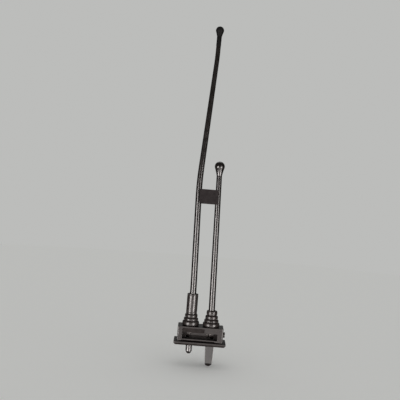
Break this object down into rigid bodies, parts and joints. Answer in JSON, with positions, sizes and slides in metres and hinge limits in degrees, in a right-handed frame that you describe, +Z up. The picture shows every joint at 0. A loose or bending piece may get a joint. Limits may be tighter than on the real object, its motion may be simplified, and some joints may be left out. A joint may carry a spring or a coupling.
{
  "type": "model signal mast",
  "caption": "Slim black mast for railway models, with a braced long and short whip on a small housing that tips back on a pegged base plate.",
  "frame": {"origin": "centre of the base plate's underside, which seats on the host", "axes": "+Z up along the whips; the window side of the housing faces -Y; the long whip is at -X and the short one at +X"},
  "size_m": [0.0184, 0.0085, 0.1219],
  "materials": {
    "base_plastic": "satin moulded black",
    "mast_plastic": "semi-gloss moulded black",
    "whip_plastic": "semi-gloss drawn black",
    "peg_plastic": "moulded black, rubbed brighter by plugging in",
    "ball_plastic": "matt black",
    "bulb_plastic": "gloss black",
    "brace_plastic": "satin black",
    "blackened_steel": "blackened, slightly bright on its edges"
  },
  "bodies": {
    "base": {"base_plate": "base_plastic", "locating_peg": "peg_plastic", "key_peg": "peg_plastic", "hinge_block": "base_plastic"},
    "mast": {"bracket_housing": "mast_plastic", "pivot_pin": "blackened_steel", "friction_washer_left": "blackened_steel", "friction_washer_inner": "blackened_steel", "friction_washer_outer": "blackened_steel", "hinge_spacer": "mast_plastic", "thrust_collar": "blackened_steel", "left_ring_1": "mast_plastic", "left_ring_2": "mast_plastic", "left_ring_3": "mast_plastic", "right_ring_1": "mast_plastic", "right_ring_2": "mast_plastic", "right_ring_3": "mast_plastic", "right_ring_4": "mast_plastic", "whip_sleeve": "mast_plastic", "long_whip": "whip_plastic", "tip_ferrule": "ball_plastic", "tip_ball": "ball_plastic", "short_whip": "whip_plastic", "tip_bulb": "bulb_plastic", "cross_brace": "brace_plastic"}
  },
  "joints": [
    {"name": "mast_tip_back", "type": "hinge", "parent": "base", "child": "mast", "pos_m": [0, 0, 0.0038], "axis": [-1, 0, 0], "range_deg": [0, 60]}
  ]
}
